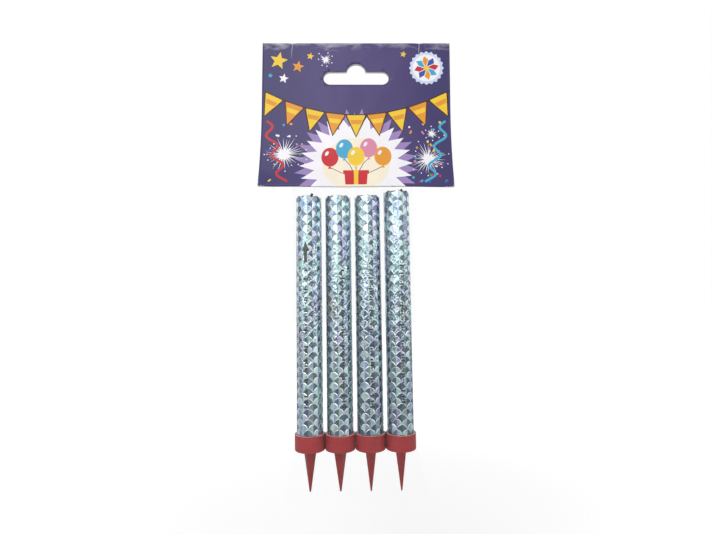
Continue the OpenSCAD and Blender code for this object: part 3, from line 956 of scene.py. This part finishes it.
class FOUNTAIN_PACK_OT_foil_wraps(bpy.types.Operator):
    """Wrap each tube in foil, with embossed scales by Geometry Nodes"""

    bl_idname = "fountain_pack.foil_wraps"
    bl_label = "Foil wraps"

    def execute(self, context):
        settings = context.scene.fountain_pack.foil
        foil = scale_foil("Holographic foil, scale embossed")
        step = settings.row_step / MM
        right, left = [scale_half(side, settings.columns, step) for side in (1, -1)]
        tree = scale_tree()
        top = FOIL_TOP - FOIL_EDGE - 0.55 * step
        for number, low, phase, turn, drift in zip(FOUNTAINS, TUBE_Z, PHASES, PRINT_TURNS, DRIFTS):
            rows = int((top - CUP_TOP + low) / step) + 1
            points, faces = sleeve_mesh(number)
            sleeve = mesh_object(f"foil_sleeve_{number}", points, faces, [foil])
            store_floats(sleeve.data, "tint", [SHEET_TINT] * len(points))
            modifier = sleeve.modifiers.new("Scales", "NODES")
            modifier.node_group = tree
            values = {"Right half": right, "Left half": left, "Columns": settings.columns, "Rows": rows,
                      "Row step": settings.row_step, "Top height": top * MM, "Tilt": settings.tilt,
                      "Radius": (FOIL_R + SCALE_LIFT) * MM, "Phase": math.radians(phase),
                      "Drift": math.radians(drift), "Seed": settings.seed + 5 * number, "Material": foil}
            for socket in tree.interface.items_tree:
                if socket.name in values:
                    modifier[socket.identifier] = values[socket.name]
            context.view_layer.update()
            made = bpy.data.meshes.new_from_object(sleeve.evaluated_get(context.evaluated_depsgraph_get()))
            if len(made.polygons) < rows * settings.columns:
                raise RuntimeError(f"the scales of foil wrap {number} were not made")
            bpy.data.objects.remove(sleeve)
            print_map(made, math.radians(turn))
            place = fountain_place(number) @ Matrix.Translation((0, 0, low))
            place.translation *= MM
            made.transform(place)
            wrap = bpy.data.objects.new(f"foil_scaled_{number}", made)
            context.scene.collection.objects.link(wrap)
            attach(wrap, f"fountain_{number}")
            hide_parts(f"foil_wrap_{number}")
        for half in (right, left):
            bpy.data.objects.remove(half)
        return {"FINISHED"}


# Bases, tubes and filling


def moulded_plastic(name):
    """Polystyrene, injection moulded and dyed red: satin, faintly clouded by the flow, with a fine
    grain of about 0.25 mm from the mould."""
    material, add, place = new_material(name)
    settings = bpy.context.scene.fountain_pack.base
    flow = add("TexNoise", place, Scale=1 / (6 * MM), Detail=2.0, Distortion=0.8)
    dyed = add("Mix", 1.0, settings.red, add("MapRange", flow, 0.3, 0.7, 0.88, 1.1), **TIMES)
    at = add("SeparateXYZ", place).outputs
    # painted shade: the spike is darkened below the cup
    painted_spike_shade = add("MapRange", at["Z"], (CUP_Z - 2.5) * MM, (CUP_Z + 0.5) * MM, 0.74, 1.0)
    # the last 1.5 mm of the spike darkens towards its tip
    tip = add("MapRange", at["Z"], TIP_Z * MM, (TIP_Z + 1.5) * MM, 0.3, 1.0)
    toned = add("Mix", 1.0, dyed, add("Math MULTIPLY", painted_spike_shade, tip), **TIMES)
    # painted highlight: faces turned upward, such as the rim, are mixed towards pale pink
    level = add("SeparateXYZ", add("NewGeometry").outputs["Normal"]).outputs["Z"]
    painted_rim_highlight = add("Mix", add("MapRange", level, 0.5, 0.9, 0, 0.75), toned, linear("#e7b2b2"), **MIXED)
    # painted shade: the cups' sides are darkened where they meet their neighbours, and their gloss is
    # turned down there
    row = add("Math ADD", at["X"], 0.3 * MM)
    apart = add("Math ABSOLUTE", add("Math WRAP", row, -PITCH / 2 * MM, PITCH / 2 * MM))
    away_from_seams = add("MapRange", apart, 0.1 * MM, 0.9 * MM)
    painted_seam_shade = add("Mix", away_from_seams, linear("#82201f"), painted_rim_highlight, **MIXED)
    shine = add("Math MULTIPLY", away_from_seams, 0.35)
    grain = add("TexNoise", place, Scale=1 / (0.25 * MM), Detail=2.0)
    rough = add("MapRange", grain, 0.3, 0.7, 0.42, 0.58)
    relief = add("Bump", Height=grain, Strength=0.08, Distance=0.05 * MM)
    add("OutputMaterial", add("BsdfPrincipled", Base_Color=painted_seam_shade, Specular_IOR_Level=shine, Roughness=rough,
                              Normal=relief))
    return material


def grained(name, dark, light, grain, roughness):
    """Mottled matt solid, such as paper, clay or a pressed mix, with grains of a size in millimetres."""
    material, add, place = new_material(name)
    mottle = add("TexNoise", place, Scale=1 / (grain * MM), Detail=5.0)
    tint = add("Mix", add("MapRange", mottle, 0.3, 0.7), linear(dark), linear(light), **MIXED)
    relief = add("Bump", Height=mottle, Strength=0.35, Distance=0.1 * MM)
    add("OutputMaterial", add("BsdfPrincipled", Base_Color=tint, Roughness=roughness, Normal=relief))
    return material


def pressed_base(number, material):
    """Copy of a base whose cup wall stands out a hair's breadth to its neighbours, as the bag presses
    the row together."""
    place = fountain_place(number)
    back = place.inverted()
    shape = bmesh.new()
    shape.from_mesh(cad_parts[f"spike_base_{number}"].data)
    bmesh.ops.remove_doubles(shape, verts=shape.verts, dist=0.002 * MM)
    shape.verts.index_update()
    points = []
    for vert in shape.verts:
        point = back @ (vert.co / MM)
        r = math.hypot(point.x, point.y)
        if r > CUP_FOOT_R - CUP_EDGE_R - 0.05:
            wall = np.interp(point.z, (CUP_EDGE_R, CUP_TOP), (CUP_FOOT_R, CUP_R))
            point.xy *= 1 + (PITCH / 2 - CUP_GAP / 8 - wall) / r
        points.append(place @ point)
    faces = [[vert.index for vert in face.verts] for face in shape.faces]
    shape.free()
    piece = mesh_object(f"base_moulded_{number}", points, faces, [material])
    piece.data.set_sharp_from_angle(angle=math.radians(30))
    return piece


class FOUNTAIN_PACK_OT_bases(bpy.types.Operator):
    """Make the moulded bases, pressed side by side, and give them their plastic"""

    bl_idname = "fountain_pack.bases"
    bl_label = "Spike bases"

    def execute(self, context):
        plastic = moulded_plastic("Polystyrene, moulded red")
        for number in FOUNTAINS:
            piece = pressed_base(number, plastic)
            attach(piece, f"fountain_{number}")
            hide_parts(f"spike_base_{number}")
        return {"FINISHED"}


class FOUNTAIN_PACK_OT_filling(bpy.types.Operator):
    """Give the paper tubes, plugs, charges, discs and fuses their materials"""

    bl_idname = "fountain_pack.filling"
    bl_label = "Tubes and filling"

    def execute(self, context):
        looks = {
            "tube": grained("Kraft paper tube, wound", "#a8926f", "#cbb896", 0.8, 0.8),
            "clay_plug": grained("Clay, pressed", "#8f8a82", "#b5afa5", 0.7, 0.9),
            "charge": grained("Spark mix, pressed", "#4c4e52", "#8b8d92", 0.4, 0.7),
            "top_disc": grained("Chipboard disc, punched", "#b7a582", "#d8c9a8", 0.5, 0.85),
            "fuse": grained("Fuse cord, waxed", "#26282a", "#4a4d4c", 0.3, 0.6),
        }
        for number in FOUNTAINS:
            for piece, material in looks.items():
                dress(f"{piece}_{number}", material)
        return {"FINISHED"}


# Stage


def studio_floor(settings):
    """Matt white floor under and behind the pack, with a faint grain of 4 mm."""
    material, add, place = new_material("Studio floor, matt")
    rough = add("MapRange", add("TexNoise", place, Scale=1 / (4 * MM)), 0, 1, 0.85, 0.95)
    path = add("LightPath").outputs
    seen = add("Math MAXIMUM", path["Is Camera Ray"], path["Is Transmission Ray"])
    # the lamps light the floor near the pack, and further off it is lifted to the same white
    far = add("MapRange", add("VectorMath LENGTH", place), 280 * MM, 600 * MM, 0.32, 0.6)
    lift = add("Math MULTIPLY", seen, far)
    add("OutputMaterial", add("BsdfPrincipled", Base_Color=settings.floor, Roughness=rough,
                              Emission_Color=linear("#ffffff"), Emission_Strength=lift))
    z = BAG_LEVELS[0][0] - settings.floor_drop / MM
    corners = [(-FLOOR_REACH, FLOOR_FRONT, z), (FLOOR_REACH, FLOOR_FRONT, z),
               (FLOOR_REACH, FLOOR_REACH, z), (-FLOOR_REACH, FLOOR_REACH, z)]
    return mesh_object("floor", corners, [(0, 1, 2, 3)], [material])


def studio_world():
    """White room. What mirrors see is white behind and above the pack, and greyer low in front of it."""
    world = bpy.data.worlds.new("Studio white")
    world.use_nodes = True
    world.node_tree.nodes.clear()
    add = partial(add_node, world.node_tree)
    path = add("LightPath").outputs
    way = add("SeparateXYZ", add("TexCoord").outputs["Generated"]).outputs
    height = add("MapRange", way["Z"], -0.3, 0.25, 0.42, 0.85)
    room = add("MapRange", way["Y"], -0.3, 0.2, height, 1.0)
    plain = add("Mix", path["Is Camera Ray"], 0.56, 1.0)
    mirrored = add("Math MAXIMUM", path["Is Glossy Ray"], path["Is Transmission Ray"])
    add("OutputWorld", add("Background", linear("#ffffff"), add("Mix", mirrored, plain, room)))
    return world


class FOUNTAIN_PACK_OT_stage(bpy.types.Operator):
    """Set the floor, the soft light and the camera"""

    bl_idname = "fountain_pack.stage"
    bl_label = "Stage"

    def execute(self, context):
        scene = context.scene
        settings = scene.fountain_pack.stage
        scene.view_settings.view_transform = "Standard"
        floor = studio_floor(settings)
        scene.world = studio_world()
        for name, spot, size in LAMPS:
            lamp = bpy.data.lights.new(name, "AREA")
            lamp.shape = "SQUARE"
            lamp.size = size * MM
            lamp.energy = getattr(settings, name)
            light = bpy.data.objects.new(name, lamp)
            light.location = Vector(spot) * MM
            light.rotation_euler = (Vector(AIM) - Vector(spot)).to_track_quat("-Z", "Y").to_euler()
            scene.collection.objects.link(light)
        lens = bpy.data.cameras.new("camera")
        lens.sensor_width = SENSOR
        lens.sensor_fit = "HORIZONTAL"
        lens.lens = SENSOR * FOCAL_PX / WIDTH_PX
        lens.clip_start = 10 * MM
        camera = bpy.data.objects.new("camera", lens)
        camera.location = Vector(CAMERA_AT) * MM
        camera.rotation_euler = (math.radians(CAMERA_TILT), 0, 0)
        scene.collection.objects.link(camera)
        scene.camera = camera
        return {"FINISHED"}


class FOUNTAIN_PACK_PT_pieces(bpy.types.Panel):
    """Lists the pack's pieces and their settings"""

    bl_idname = "FOUNTAIN_PACK_PT_pieces"
    bl_label = "Fountain pack"
    bl_space_type = "VIEW_3D"
    bl_region_type = "UI"
    bl_category = "Fountain pack"

    def draw(self, context):
        settings = context.scene.fountain_pack
        for operator in OPERATORS:
            self.layout.operator(operator.bl_idname)
        for group in ("card", "bag", "foil", "base", "stage"):
            column = self.layout.column(heading=group.title())
            values = getattr(settings, group)
            for name in values.__annotations__:
                column.prop(values, name)


OPERATORS = (
    FOUNTAIN_PACK_OT_stage,
    FOUNTAIN_PACK_OT_header_card,
    FOUNTAIN_PACK_OT_clear_bag,
    FOUNTAIN_PACK_OT_foil_wraps,
    FOUNTAIN_PACK_OT_bases,
    FOUNTAIN_PACK_OT_filling,
)
GROUPS = (CardSettings, BagSettings, FoilSettings, BaseSettings, StageSettings, PackSettings)


def register():
    """Adds the settings, the operators and the panel."""
    for made in GROUPS + OPERATORS + (FOUNTAIN_PACK_PT_pieces,):
        bpy.utils.register_class(made)
    bpy.types.Scene.fountain_pack = PointerProperty(type=PackSettings)


def unregister():
    """Takes them away again."""
    del bpy.types.Scene.fountain_pack
    for made in reversed(GROUPS + OPERATORS + (FOUNTAIN_PACK_PT_pieces,)):
        bpy.utils.unregister_class(made)


def main():
    """Builds every piece in order."""
    register()
    bpy.ops.fountain_pack.stage()
    bpy.ops.fountain_pack.header_card()
    bpy.ops.fountain_pack.clear_bag()
    bpy.ops.fountain_pack.foil_wraps()
    bpy.ops.fountain_pack.bases()
    bpy.ops.fountain_pack.filling()


if __name__ == "__main__":
    main()
